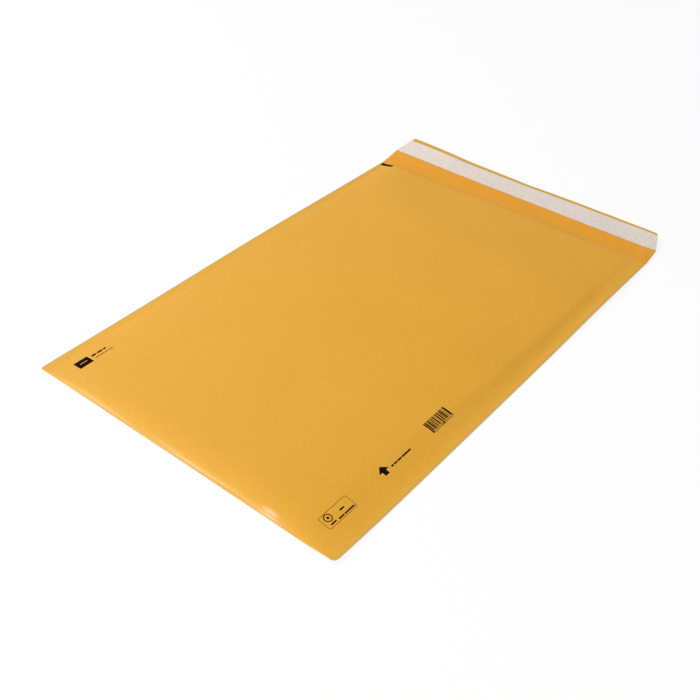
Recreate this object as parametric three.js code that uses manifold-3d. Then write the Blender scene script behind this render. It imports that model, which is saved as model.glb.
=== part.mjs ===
// Padded mailing envelope, lying flat on its back with its flap open.
// Units are millimetres. The closed fold is at -Y, the mouth and the flap are at +Y,
// the front panel faces +Z and the back panel rests on the plane z = 0.

import * as THREE from 'three';
import { mergeVertices } from 'three/addons/utils/BufferGeometryUtils.js';
import Module from 'manifold-3d';

const wasm = await Module();
wasm.setup();

const degrees = THREE.MathUtils.degToRad;

// Driving sizes of the folded kraft sheet
const ENVELOPE_WIDTH = 320;
const BODY_LENGTH = 460;
const PAPER = 0.15;
const CORNER_RADIUS = 5;
const CORNER_RUN = 20;

// Side seams, where front and back are glued together, and the slope up from them
const SEAM_WIDTH = 6;
const SEAM_THICKNESS = 0.6;
const SEAM_LIFT = 1.4;
const SHOULDER_WIDTH = 15;

// Bubble lining: a folded film pocket that stands off the paper by the clearance
const LINING_THICKNESS = 2.4;
const LINING_EDGE = 0.6;
const LINING_CRUSHED = 0.45;
const LINING_SETBACK = 12;
const LINING_CLEARANCE = 0.3;

// Pocket between the two walls of the lining, and the front panel's fall to the mouth
const POCKET_HEIGHT = 4.2;
const POCKET_EDGE = 0.3;
const MOUTH_FALL = 42;

// Flap: the back panel carried on past the mouth, curling up and twisted higher at -X
const FLAP_LENGTH = 48.5;
const FLAP_START_ANGLE = degrees(4);
const FLAP_END_ANGLE = degrees(21);
const FLAP_TWIST = degrees(5.4);
const FLAP_SHOULDER_INSET = 2;
const FLAP_TIP_INSET = 11.5;

// Closure on the flap's inner face: an adhesive band under its release liner
const LINER_WIDTH = 20.5;
const LINER_THICKNESS = 0.12;
const TIP_BAND = 3.2;
const ADHESIVE_THICKNESS = 0.15;
const ADHESIVE_MARGIN = 1.5;
const ADHESIVE_SIDE_MARGIN = 6;
const STRIP_CLEARANCE = 0.2;

// How far a cutting solid reaches past what it cuts
const OVERCUT = 10;

// Derived sizes
const HALF_WIDTH = ENVELOPE_WIDTH / 2;
const SEAM_LINE = HALF_WIDTH - SEAM_WIDTH;
const PLATEAU_LINE = SEAM_LINE - SHOULDER_WIDTH;
const LINING_INSET = PAPER + LINING_CLEARANCE;
const POCKET_INSET = LINING_INSET + LINING_THICKNESS;
const FULL_THICKNESS = 2 * POCKET_INSET + POCKET_HEIGHT;
const FOLD_RADIUS = FULL_THICKNESS / 2;
const LINING_END = BODY_LENGTH - LINING_SETBACK;
const MOUTH_FALL_START = BODY_LENGTH - MOUTH_FALL;
const LINER_START = FLAP_LENGTH - TIP_BAND - LINER_WIDTH;
const LINER_END = FLAP_LENGTH - TIP_BAND;
const FLAP_RADIUS = FLAP_LENGTH / (FLAP_END_ANGLE - FLAP_START_ANGLE);

// Stations of the grids, as shares of the run that they divide
const CORNER_STEPS = [0, 0.134, 0.5, 1];
const SHOULDER_STEPS = [0, 0.14, 0.3, 0.5, 0.72, 1];
const PLATEAU_STEPS = [0.4, 0.8];
const FOLD_ANGLES = [0, 14, 30, 48, 68, 90].map(degrees);
const BODY_STEPS = [0.3, 0.65, 1];
const FALL_STEPS = [0.2, 0.4, 0.6, 0.8, 1];
const FLAP_STEPS = [0, 0.25, 0.5, 0.75, 1];
const BAND_STEPS = [0.34, 0.67, 1];

// Smooth step from 0 to 1, level at both ends
function ease(share) {
  return THREE.MathUtils.smoothstep(share, 0, 1);
}

// How far the front panel has fallen at y: the lining is crushed at its open end
const MOUTH_DROP = (LINING_THICKNESS - LINING_CRUSHED)
  / ease((LINING_END - MOUTH_FALL_START) / MOUTH_FALL);

function mouthDrop(y) {
  return MOUTH_DROP * ease((y - MOUTH_FALL_START) / MOUTH_FALL);
}

// Cross profile: 0 over the seam, 1 over the plateau, a quarter sine between them
function shoulder(x) {
  const share = THREE.MathUtils.clamp((SEAM_LINE - Math.abs(x)) / SHOULDER_WIDTH, 0, 1);
  return Math.sin(share * Math.PI / 2);
}

// Place on the cross profile where the envelope is a given thickness
function widthAtThickness(thickness) {
  const share = (thickness - SEAM_THICKNESS) / (FULL_THICKNESS - SEAM_THICKNESS);
  return SEAM_LINE - SHOULDER_WIDTH * Math.asin(share) * 2 / Math.PI;
}

// Height of the back panel's outer face, up at the seams and on the floor between them
function underside(x) {
  return SEAM_LIFT * (1 - shoulder(x));
}

// How far the rounded corner of the closed end cuts in along Y, at a given x
function cornerNotch(x) {
  const reach = Math.abs(x) - (HALF_WIDTH - CORNER_RADIUS);
  return reach <= 0 ? 0 : CORNER_RADIUS - Math.sqrt(Math.max(0, CORNER_RADIUS ** 2 - reach ** 2));
}

// Columns of every grid, from the left edge to the right one
function columnStations() {
  const right = [
    ...PLATEAU_STEPS.map((share) => PLATEAU_LINE * share),
    ...SHOULDER_STEPS.map((share) => PLATEAU_LINE + SHOULDER_WIDTH * share),
    ...CORNER_STEPS.map((share) => HALF_WIDTH - CORNER_RADIUS * (1 - share)),
  ];
  const left = right.map((x) => -x).reverse();
  return [...left, 0, ...right];
}

const COLUMNS = columnStations();

// One cross section of a layer: its upper and lower rows of points, left to right.
// inset is the depth of the layer's face below the envelope's outer face.
// fold is the share of the full thickness that the closed fold's roundness leaves.
function bodySection({ y, inset, reach, fold = 1, drop = 0 }) {
  const upper = [];
  const lower = [];
  for (const column of COLUMNS) {
    const x = THREE.MathUtils.clamp(column, -reach, reach);
    const lift = underside(x);
    const thickness = SEAM_THICKNESS + (FULL_THICKNESS - SEAM_THICKNESS) * shoulder(x);
    const middle = lift + thickness / 2;
    const half = (thickness / 2 - inset) * fold;
    const along = y + cornerNotch(x) * Math.max(0, 1 - y / CORNER_RUN);
    upper.push(new THREE.Vector3(x, along, middle + half - drop * shoulder(x)));
    lower.push(new THREE.Vector3(x, along, middle - half));
  }
  return { upper, lower };
}

// Sections of the rounded closed end, from the fold line to the full thickness
function foldSections(inset, reach) {
  return FOLD_ANGLES.map((angle) => bodySection({
    y: inset + (FOLD_RADIUS - inset) * (1 - Math.cos(angle)),
    inset,
    reach,
    fold: Math.sin(angle),
  }));
}

// Sections of the straight body, where the front panel stays level
function levelSections(inset, reach) {
  const length = MOUTH_FALL_START - CORNER_RUN;
  return [0, ...BODY_STEPS].map((share) => bodySection({
    y: CORNER_RUN + length * share,
    inset,
    reach,
  }));
}

// Sections over the front panel's fall, up to a given end
function fallSections(inset, reach, end) {
  return FALL_STEPS.map((share) => {
    const y = MOUTH_FALL_START + (end - MOUTH_FALL_START) * share;
    return bodySection({ y, inset, reach, drop: mouthDrop(y) });
  });
}

// Half width of the flap at a developed distance from the mouth
function flapHalfWidth(distance) {
  if (distance <= LINER_START) {
    return HALF_WIDTH - FLAP_SHOULDER_INSET * distance / LINER_START;
  }
  const share = (distance - LINER_START) / (FLAP_LENGTH - LINER_START);
  return HALF_WIDTH - THREE.MathUtils.lerp(FLAP_SHOULDER_INSET, FLAP_TIP_INSET, share);
}

// Point over the flap: x, developed distance from the mouth, height above its outer face.
// Each column is an arc whose angle grows evenly, and the twist turns left ones higher.
function flapPoint(x, distance, height) {
  const side = x / flapHalfWidth(distance);
  const start = FLAP_START_ANGLE - FLAP_TWIST * side;
  const angle = start + distance / FLAP_RADIUS;
  const rest = underside(side * HALF_WIDTH);
  const flat = THREE.MathUtils.lerp(rest, SEAM_LIFT, ease(distance / FLAP_LENGTH));
  return new THREE.Vector3(
    x,
    BODY_LENGTH + FLAP_RADIUS * (Math.sin(angle) - Math.sin(start)),
    flat + FLAP_RADIUS * (Math.cos(start) - Math.cos(angle)) + height,
  );
}

// Section over the flap between two heights, narrowed at each side by a margin
function flapSection({ distance, low, high, margin = 0, spread = 0 }) {
  const half = flapHalfWidth(distance);
  const lower = [];
  const upper = [];
  for (const column of COLUMNS) {
    const x = (column / HALF_WIDTH) * (half - margin);
    lower.push(flapPoint(x, distance, low));
    upper.push(flapPoint(x, distance, high));
  }
  if (spread > 0) {
    for (const row of [lower, upper]) {
      const first = row[0].clone();
      const last = row[row.length - 1].clone();
      first.x -= spread;
      last.x += spread;
      row.unshift(first);
      row.push(last);
    }
  }
  return { upper, lower };
}

// Developed distances of the flap's rows, up to its tip
function flapDistances() {
  return [
    ...FLAP_STEPS.map((share) => LINER_START * share),
    ...BAND_STEPS.map((share) => LINER_START + LINER_WIDTH * share),
    FLAP_LENGTH,
  ];
}

// Closed shell through a row of sections; triangles that have shrunk to a line are left out
function loft(sections) {
  const positions = [];
  const addTriangle = (a, b, c) => {
    if (a.equals(b) || b.equals(c) || c.equals(a)) return;
    positions.push(...a.toArray(), ...b.toArray(), ...c.toArray());
  };
  const addQuad = (a, b, c, d) => {
    addTriangle(a, b, c);
    addTriangle(a, c, d);
  };
  const last = sections[0].upper.length - 1;
  for (let row = 1; row < sections.length; row += 1) {
    const near = sections[row - 1];
    const far = sections[row];
    for (let i = 0; i < last; i += 1) {
      addQuad(near.upper[i], near.upper[i + 1], far.upper[i + 1], far.upper[i]);
      addQuad(near.lower[i], far.lower[i], far.lower[i + 1], near.lower[i + 1]);
    }
    addQuad(near.lower[0], near.upper[0], far.upper[0], far.lower[0]);
    addQuad(near.upper[last], near.lower[last], far.lower[last], far.upper[last]);
  }
  const start = sections[0];
  const end = sections[sections.length - 1];
  for (let i = 0; i < last; i += 1) {
    addQuad(start.lower[i], start.lower[i + 1], start.upper[i + 1], start.upper[i]);
    addQuad(end.lower[i], end.upper[i], end.upper[i + 1], end.lower[i + 1]);
  }
  const geometry = new THREE.BufferGeometry();
  geometry.setAttribute('position', new THREE.Float32BufferAttribute(positions, 3));
  return mergeVertices(geometry);
}

// Geometry and back, for joining and cutting
function toSolid(geometry) {
  return new wasm.Manifold(new wasm.Mesh({
    numProp: 3,
    vertProperties: Float32Array.from(geometry.getAttribute('position').array),
    triVerts: Uint32Array.from(geometry.getIndex().array),
  }));
}

function toGeometry(solid) {
  const mesh = solid.getMesh();
  const geometry = new THREE.BufferGeometry();
  geometry.setAttribute('position', new THREE.BufferAttribute(mesh.vertProperties, 3));
  geometry.setIndex(new THREE.BufferAttribute(mesh.triVerts, 1));
  geometry.computeVertexNormals();
  return geometry;
}

// The same number of points in a body section as in a spread flap section
function doubleEnds(section) {
  const widen = (row) => [row[0].clone(), ...row, row[row.length - 1].clone()];
  return { upper: widen(section.upper), lower: widen(section.lower) };
}

// Kraft sheet: one sheet folded at the closed end and glued along both sides.
// The outer shell runs on past the mouth, and the hollow opens there to the whole width,
// so that what is left beyond the mouth is the single layer of the flap.
function kraftEnvelope() {
  const outer = [
    ...foldSections(0, HALF_WIDTH),
    ...levelSections(0, HALF_WIDTH),
    ...fallSections(0, HALF_WIDTH, BODY_LENGTH),
    ...flapDistances().slice(1).map((distance) => flapSection({
      distance,
      low: 0,
      high: FULL_THICKNESS,
    })),
  ];
  const pocket = [
    ...foldSections(PAPER, SEAM_LINE),
    ...levelSections(PAPER, SEAM_LINE),
    ...fallSections(PAPER, SEAM_LINE, BODY_LENGTH),
  ];
  const beyond = [...flapDistances(), FLAP_LENGTH + OVERCUT].map((distance) => flapSection({
    distance,
    low: PAPER,
    high: FULL_THICKNESS + OVERCUT,
    spread: OVERCUT,
  }));
  const hollow = [...pocket.map(doubleEnds), ...beyond];
  return toGeometry(toSolid(loft(outer)).subtract(toSolid(loft(hollow))));
}

// Bubble lining: a film pocket with a front and a back wall, closed at three sides.
// Its front wall thins towards the mouth, where the bubbles are crushed.
function bubbleLining() {
  const outerReach = widthAtThickness(2 * LINING_INSET + LINING_EDGE);
  const pocketReach = widthAtThickness(2 * POCKET_INSET + POCKET_EDGE);
  const outer = [
    ...foldSections(LINING_INSET, outerReach),
    ...levelSections(LINING_INSET, outerReach),
    ...fallSections(LINING_INSET, outerReach, LINING_END),
  ];
  const pocket = [
    ...foldSections(POCKET_INSET, pocketReach),
    ...levelSections(POCKET_INSET, pocketReach),
    bodySection({ y: BODY_LENGTH, inset: POCKET_INSET, reach: pocketReach }),
  ];
  return toGeometry(toSolid(loft(outer)).subtract(toSolid(loft(pocket))));
}

// Flat band laid on the flap's inner face between two developed distances
function flapBand({ from, to, low, high, margin }) {
  const steps = [0, ...BAND_STEPS];
  return toGeometry(toSolid(loft(steps.map((share) => flapSection({
    distance: THREE.MathUtils.lerp(from, to, share),
    low,
    high,
    margin,
  })))));
}

const ADHESIVE_LOW = PAPER + STRIP_CLEARANCE;
const ADHESIVE_HIGH = ADHESIVE_LOW + ADHESIVE_THICKNESS;
const LINER_LOW = ADHESIVE_HIGH + STRIP_CLEARANCE;
const LINER_HIGH = LINER_LOW + LINER_THICKNESS;

function adhesiveStrip() {
  return flapBand({
    from: LINER_START + ADHESIVE_MARGIN,
    to: LINER_END - ADHESIVE_MARGIN,
    low: ADHESIVE_LOW,
    high: ADHESIVE_HIGH,
    margin: ADHESIVE_SIDE_MARGIN,
  });
}

function releaseLiner() {
  return flapBand({
    from: LINER_START,
    to: LINER_END,
    low: LINER_LOW,
    high: LINER_HIGH,
    margin: 0,
  });
}

const kraftPaper = new THREE.MeshStandardMaterial({ color: 0xdda540, roughness: 0.62, metalness: 0 });
const bubbleFilm = new THREE.MeshStandardMaterial({ color: 0xdfe4e6, roughness: 0.35, metalness: 0 });
const hotMelt = new THREE.MeshStandardMaterial({ color: 0xd9c48a, roughness: 0.3, metalness: 0 });
const siliconePaper = new THREE.MeshStandardMaterial({ color: 0xdcd2cc, roughness: 0.5, metalness: 0 });

function addPiece(group, name, geometry, material) {
  const mesh = new THREE.Mesh(geometry, material);
  mesh.name = name;
  group.add(mesh);
  return mesh;
}

const envelope = new THREE.Group();
const kraft = addPiece(envelope, 'kraft_envelope', kraftEnvelope(), kraftPaper);
addPiece(envelope, 'bubble_lining', bubbleLining(), bubbleFilm);
addPiece(envelope, 'adhesive_strip', adhesiveStrip(), hotMelt);
addPiece(envelope, 'release_liner', releaseLiner(), siliconePaper);

// The origin is on the floor, under the middle of the envelope's whole length
const extent = new THREE.Box3().setFromObject(kraft);
envelope.position.y = -(extent.min.y + extent.max.y) / 2;

export default envelope;
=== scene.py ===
"""Visual model of a padded mailing envelope that lies flat on its back with its flap open.

Sizes are millimetres in the envelope's own frame: x across, y from the closed fold towards
the mouth and z up from the floor. They become the frame's metres once, when a mesh is made.
"""

import logging
import math
from collections.abc import Callable
from dataclasses import dataclass
from enum import Enum
from functools import reduce

import bpy
import numpy as np
from mathutils import Matrix, Vector


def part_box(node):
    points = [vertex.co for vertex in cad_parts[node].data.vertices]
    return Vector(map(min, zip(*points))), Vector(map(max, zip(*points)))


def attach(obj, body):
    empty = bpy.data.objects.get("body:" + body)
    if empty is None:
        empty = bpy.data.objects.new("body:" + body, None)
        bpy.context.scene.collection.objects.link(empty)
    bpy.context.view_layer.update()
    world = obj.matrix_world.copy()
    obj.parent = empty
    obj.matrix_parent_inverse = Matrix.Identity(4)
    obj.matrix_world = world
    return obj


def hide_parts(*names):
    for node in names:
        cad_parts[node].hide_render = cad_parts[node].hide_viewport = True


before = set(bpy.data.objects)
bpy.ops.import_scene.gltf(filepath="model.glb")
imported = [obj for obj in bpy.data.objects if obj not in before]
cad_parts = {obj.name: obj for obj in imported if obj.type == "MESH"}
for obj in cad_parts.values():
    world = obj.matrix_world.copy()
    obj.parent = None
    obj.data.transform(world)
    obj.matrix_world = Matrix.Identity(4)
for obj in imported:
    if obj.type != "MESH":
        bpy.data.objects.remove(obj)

MM = 0.001
BODY = "root"
IMAGE_PIXELS = 700
SENSOR_WIDTH = 36.0
RIM_ANGLE = math.radians(50.0)
NOISE_ROUGHNESS = 0.55
NOISE_MIDDLE = (0.3, 0.7)

log = logging.getLogger("padded_envelope")

Array = np.ndarray
Triple = tuple[float, float, float]
Colour = Triple
Place = tuple[float, float]
Socket = bpy.types.NodeSocket


class Face(Enum):
    """Which of a sheet's two sides a material slot dresses."""

    OUTER = 0
    INNER = 1


def ease(share: Array | float) -> Array | float:
    """Smooth step of a share held between 0 and 1: three squares less two cubes."""
    held = np.clip(share, 0.0, 1.0)
    return held * held * (3.0 - 2.0 * held)


def blend(low: Array | float, high: Array | float, share: Array | float) -> Array | float:
    """Straight mix: low plus the share of the difference between high and low."""
    return low + (high - low) * share


def bell(place: Array, centre: float, spread: float) -> Array:
    """Bell curve: e to the minus square of the distance from the centre over the spread."""
    return np.exp(-(((place - centre) / spread) ** 2))


def corner_cut(past: Array, radius: Array) -> Array:
    """How far a corner's circle lies in from its line, at a distance past its start."""
    reach = np.clip(past, 0.0, radius)
    return radius - np.sqrt(radius**2 - reach**2)


def stations(stops: list[Place], start: float) -> Array:
    """Places along a run whose spacing changes from stretch to stretch.

    Each stretch is divided evenly into the whole number of steps nearest to its spacing.

    Args:
        stops: End and spacing of each stretch, in order.
        start: Where the first stretch begins.

    Returns:
        Every place from the start to the last end.
    """
    parts = [np.array([start])]
    near = start
    for far, spacing in stops:
        steps = max(1, round(abs(far - near) / spacing))
        parts.append(np.linspace(near, far, steps + 1)[1:])
        near = far
    return np.concatenate(parts)


def placed(name: str, data: bpy.types.ID) -> bpy.types.Object:
    """Makes an object from its data and puts it in the scene.

    Args:
        name: Name of the object.
        data: Its mesh, lamp or camera.

    Returns:
        The object.
    """
    item = bpy.data.objects.new(name, data)
    bpy.context.scene.collection.objects.link(item)
    return item


@dataclass(frozen=True)
class Waves:
    """Soft irregular relief: a sum of sine waves with seeded lengths, directions and phases.

    The lengths lie between the shortest and the longest, and the height is the whole
    relief's usual one.
    """

    seed: int
    shortest: float
    longest: float
    height: float
    count: int = 9

    def relief(self, x: Array, y: Array | float = 0.0) -> Array:
        """Height of the summed sines of the distance along each wave's direction.

        Args:
            x: Places across.
            y: Places along.

        Returns:
            Relief at each place, about zero on average.
        """
        draw = np.random.default_rng(self.seed)
        lengths = draw.uniform(self.shortest, self.longest, self.count)
        headings = draw.uniform(0.0, math.pi, self.count)
        phases = draw.uniform(0.0, 2.0 * math.pi, self.count)
        total = np.zeros(np.broadcast(x, y).shape)
        for length, heading, phase in zip(lengths, headings, phases):
            along = x * math.cos(heading) + y * math.sin(heading)
            total = total + np.sin(2.0 * math.pi * along / length + phase)
        return self.height * total / math.sqrt(self.count / 2.0)


@dataclass(frozen=True)
class Bump:
    """One bell-shaped lump or dent along a line, as high as its height at the centre."""

    centre: float
    spread: float
    height: float

    def at(self, place: Array) -> Array:
        """Height of the bump at each place."""
        return self.height * bell(place, self.centre, self.spread)


@dataclass(frozen=True)
class Side:
    """One long side of the envelope, where front and back are glued together.

    The seam rests at its height above the floor and rises off it in places. Beside it a
    slope, wider towards the closed fold, takes up the shoulder's share of the thickness,
    and a soft crown the rest. The fold's shift is how much further in than the nominal
    line the closed fold lies there.
    """

    seam_height: float
    seam_rises: tuple[Bump, ...]
    shoulder_share: float
    shoulder_start: float
    shoulder_width: float
    shoulder_spread: float
    mouth_shoulder: float
    crown_width: float
    mouth_width: float
    fold_shift: float
    corner_radius: float
    shoulder_run: float = 190.0

    def seam(self, y: Array) -> Array:
        """Height of the seam: its resting height plus the rises along it."""
        return self.seam_height + sum(rise.at(y) for rise in self.seam_rises)

    def slope(self, inward: Array, y: Array) -> Array:
        """Smooth step from 0 at the slope's foot to 1, made wider by a bell at the fold."""
        width = self.shoulder_width + self.shoulder_spread * bell(y, 0.0, self.shoulder_run)
        return ease((inward - self.shoulder_start) / width)

    def profile(self, inward: Array, y: Array, width: float, share: float) -> Array:
        """A parabola that rises over the width, mixed with a share of the slope."""
        soft = 1.0 - (1.0 - np.clip(inward / width, 0.0, 1.0)) ** 2
        return blend(soft, self.slope(inward, y), share)

    def crown(self, inward: Array, y: Array) -> Array:
        """Cross profile of the body, 0 at the seam and 1 where it is fullest."""
        return self.profile(inward, y, self.crown_width, self.shoulder_share)

    def mouth(self, inward: Array, y: Array) -> Array:
        """Cross profile at the mouth, as crown gives the body's."""
        return self.profile(inward, y, self.mouth_width, self.mouth_shoulder)


@dataclass(frozen=True)
class EnvelopeForm:
    """Shape of the folded envelope, which every layer of it follows.

    The full thickness is that of the body where it is fullest, origin_y is where the closed
    fold lies in the row's frame, and the fold's rounding reaches in from a line at the fold
    height above the back.
    """

    width: float
    length: float
    full_thickness: float
    origin_y: float
    left: Side = Side(
        seam_height=0.1,
        seam_rises=(Bump(257.0, 122.0, 1.75),),
        shoulder_share=0.10,
        shoulder_start=0.0,
        shoulder_width=14.0,
        shoulder_spread=0.0,
        mouth_shoulder=0.05,
        crown_width=140.0,
        mouth_width=32.0,
        fold_shift=-1.2,
        corner_radius=2.0,
    )
    right: Side = Side(
        seam_height=0.3,
        seam_rises=(Bump(0.0, 40.0, 1.9), Bump(370.0, 66.0, 1.9), Bump(460.0, 60.0, 1.4)),
        shoulder_share=0.32,
        shoulder_start=2.5,
        shoulder_width=11.0,
        shoulder_spread=22.0,
        mouth_shoulder=0.45,
        crown_width=88.0,
        mouth_width=80.0,
        fold_shift=0.0,
        corner_radius=4.2,
    )
    paper: float = 0.15
    seam_width: float = 6.0
    seam_thickness: float = 0.42
    fold_height: float = 1.2
    fold_reach: float = 22.0
    fold_shift_run: float = 60.0
    corner_run: float = 20.0
    mouth_height: float = 4.5
    mouth_fall: float = 105.0
    mouth_profile_run: float = 95.0
    mouth_bumps: tuple[Bump, ...] = (Bump(14.0, 36.0, 0.8), Bump(-66.0, 34.0, -0.5))
    mouth_roll: float = 1.2
    mouth_roll_run: float = 3.4
    panel_waves: Waves = Waves(11, 70.0, 210.0, 0.13)
    back_waves: Waves = Waves(12, 60.0, 160.0, 0.1)
    fold_waves: Waves = Waves(13, 13.0, 46.0, 0.12)
    fold_wave_run: float = 15.0
    edge_lumps: Waves = Waves(14, 14.0, 60.0, 0.12)
    edge_lump_reach: float = 20.0
    edge_lump_stretch: float = 0.5
    flap_waves: Waves = Waves(15, 26.0, 110.0, 0.12)
    flap_length: float = 48.5
    flap_start_angle: float = math.radians(4.0)
    flap_end_angle: float = math.radians(21.0)
    flap_twist: float = math.radians(5.4)
    flap_sag: Bump = Bump(-0.22, 0.62, 2.9)
    flap_shoulder_inset: float = 2.0
    flap_tip_inset: float = 11.5
    flap_rest_height: float = 1.4
    tip_radius_left: float = 1.2
    tip_radius_right: float = 3.2
    liner_width: float = 20.0
    tip_band: float = 3.7

    @classmethod
    def from_frame(cls, lining_setback: float = 12.0, settling: float = 1.6) -> "EnvelopeForm":
        """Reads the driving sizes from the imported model.

        Args:
            lining_setback: Distance from the mouth in to the lining's open end.
            settling: How much flatter the soft envelope lies than its rigid solids.

        Returns:
            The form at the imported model's size.
        """
        kraft_low, kraft_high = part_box("kraft_envelope")
        lining_low, lining_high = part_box("bubble_lining")
        return cls(
            width=(kraft_high.x - kraft_low.x) / MM,
            length=(lining_high.y - kraft_low.y) / MM + lining_setback,
            full_thickness=(lining_low.z + lining_high.z) / MM - settling,
            origin_y=kraft_low.y / MM,
        )

    @property
    def half_width(self) -> float:
        """Half of the width."""
        return self.width / 2.0

    @property
    def seam_line(self) -> float:
        """Distance from the middle to the inner edge of a side seam."""
        return self.half_width - self.seam_width

    @property
    def liner_start(self) -> float:
        """Developed distance from the mouth to the liner's near edge."""
        return self.flap_length - self.tip_band - self.liner_width

    @property
    def flap_radius(self) -> float:
        """Radius of the flap's curl: its length over the angle that it turns."""
        return self.flap_length / (self.flap_end_angle - self.flap_start_angle)

    def by_side(self, x: Array, read: Callable[[Side], Array | float]) -> Array:
        """What a function reads from the left side where x is negative, else the right."""
        return np.where(x < 0.0, read(self.left), read(self.right))

    def fullness(self, x: Array, y: Array) -> Array:
        """Cross profile, 0 over the seams: the body's, eased into the mouth's own.

        Args:
            x: Places across.
            y: Places along.

        Returns:
            Fullness at each place.
        """
        inward = self.seam_line - np.abs(x)
        body = self.by_side(x, lambda side: side.crown(inward, y))
        mouth = self.by_side(x, lambda side: side.mouth(inward, y))
        share = ease(1.0 - (self.length - y) / self.mouth_profile_run)
        return blend(body, mouth, share)

    def plateau(self, x: Array, y: Array) -> Array:
        """Greatest thickness: full, then an eased fall to the mouth's uneven height.

        A narrow bell at the mouth takes a little more off, where the cut edge rolls down.

        Args:
            x: Places across.
            y: Places along.

        Returns:
            Thickness at each place.
        """
        mouth = self.mouth_height + sum(b.at(x) for b in self.mouth_bumps)
        share = ease(1.0 - (self.length - y) / self.mouth_fall)
        roll = self.mouth_roll * bell(y, self.length, self.mouth_roll_run)
        return blend(self.full_thickness, mouth, share) - roll

    def back_height(self, x: Array, y: Array) -> Array:
        """Height of the back panel: on the floor, and up at the seams, with faint waves.

        Args:
            x: Places across.
            y: Places along.

        Returns:
            Height of the back's outer face.
        """
        seam = self.by_side(x, lambda side: side.seam(y))
        full = self.fullness(x, y)
        waves = self.back_waves.relief(x, y)
        return seam * (1.0 - full) ** 2 + (self.back_waves.height * 2.0 + waves).clip(0.0) * full

    def front_height(self, x: Array, y: Array) -> Array:
        """Height of the front panel: the back's, plus the thickness, plus its own relief.

        The relief is soft waves on the panel, short ones that die away from the closed
        fold, and lumps along the side seams.

        Args:
            x: Places across.
            y: Places along.

        Returns:
            Height of the front's outer face.
        """
        full = self.fullness(x, y)
        thickness = blend(self.seam_thickness, self.plateau(x, y), full)
        from_seam = np.clip((self.seam_line - np.abs(x)) / self.edge_lump_reach, 0.0, 1.0)
        beside = 4.0 * from_seam * (1.0 - from_seam)
        relief = full * self.panel_waves.relief(x, y)
        relief = relief + full * bell(y, 0.0, self.fold_wave_run) * self.fold_waves.relief(x)
        relief = relief + beside * self.edge_lumps.relief(x * self.edge_lump_stretch, y)
        return self.back_height(x, y) + thickness + relief

    def thickness(self, x: Array, y: Array) -> Array:
        """Thickness of the whole envelope, from its back to its front."""
        return self.front_height(x, y) - self.back_height(x, y)

    def corner_notch(self, x: Array) -> Array:
        """How far a rounded corner of the closed end cuts in."""
        radius = self.by_side(x, lambda side: side.corner_radius)
        return corner_cut(np.abs(x) - (self.half_width - radius), radius)

    def point(self, x: Array, v: Array, inset: Array | float) -> Array:
        """Point of a layer on the body, at a signed distance v from the closed fold.

        Past the fold's reach y is the size of v, on the front for positive v and on the
        back for negative v. Within it the layer goes round two quarter ellipses that meet
        at the fold's line: y is one less the cosine of the angle times the reach, and the
        height goes from the line's to the panel's by the sine.

        Args:
            x: Places across.
            v: Signed distances from the fold.
            inset: Depth of the layer below the envelope's outer face.

        Returns:
            Points, with x, y and z on the last axis.
        """
        x, v, inset = np.broadcast_arrays(x, v, inset)
        turn = np.clip(np.abs(v) / self.fold_reach, 0.0, 1.0) * math.pi / 2.0
        risen = np.sin(turn)
        y = np.where(risen < 1.0, self.fold_reach * (1.0 - np.cos(turn)), np.abs(v))
        high = self.front_height(x, y)
        low = self.back_height(x, y)
        line = low + blend(self.seam_thickness / 2.0, self.fold_height, self.fullness(x, y))
        z = blend(line, np.where(v > 0.0, high - inset, low + inset), risen)
        side = (x / self.half_width + 1.0) / 2.0
        shift = blend(self.left.fold_shift, self.right.fold_shift, side)
        along = y + inset * (1.0 - risen) + shift * bell(y, 0.0, self.fold_shift_run)
        along = along + self.corner_notch(x) * np.clip(1.0 - y / self.corner_run, 0.0, 1.0)
        return np.stack([x, along, z], axis=-1)

    def station(self, y: Array) -> Array:
        """Distance v from the fold whose point lies at y: the rounding's angle is undone."""
        turn = np.arccos(1.0 - np.clip(y / self.fold_reach, 0.0, 1.0))
        return np.where(y < self.fold_reach, self.fold_reach * turn * 2.0 / math.pi, y)

    def flap_half_width(self, distance: Array) -> Array:
        """Half width of the flap: a slight taper to the liner, then a stronger one.

        Args:
            distance: Developed distances from the mouth.

        Returns:
            Half width at each distance.
        """
        near = self.flap_shoulder_inset * distance / self.liner_start
        share = (distance - self.liner_start) / (self.flap_length - self.liner_start)
        far = blend(self.flap_shoulder_inset, self.flap_tip_inset, share)
        return self.half_width - np.where(distance <= self.liner_start, near, far)

    def tip_notch(self, side: Array) -> Array:
        """How far the flap's rounded tip corners cut back its length.

        Args:
            side: Places across, as shares of the flap's half width.

        Returns:
            Developed distance that is missing at each place.
        """
        radius = np.where(side < 0.0, self.tip_radius_left, self.tip_radius_right)
        half = self.half_width - self.flap_tip_inset
        return corner_cut(np.abs(side) * half - (half - radius), radius)

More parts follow.
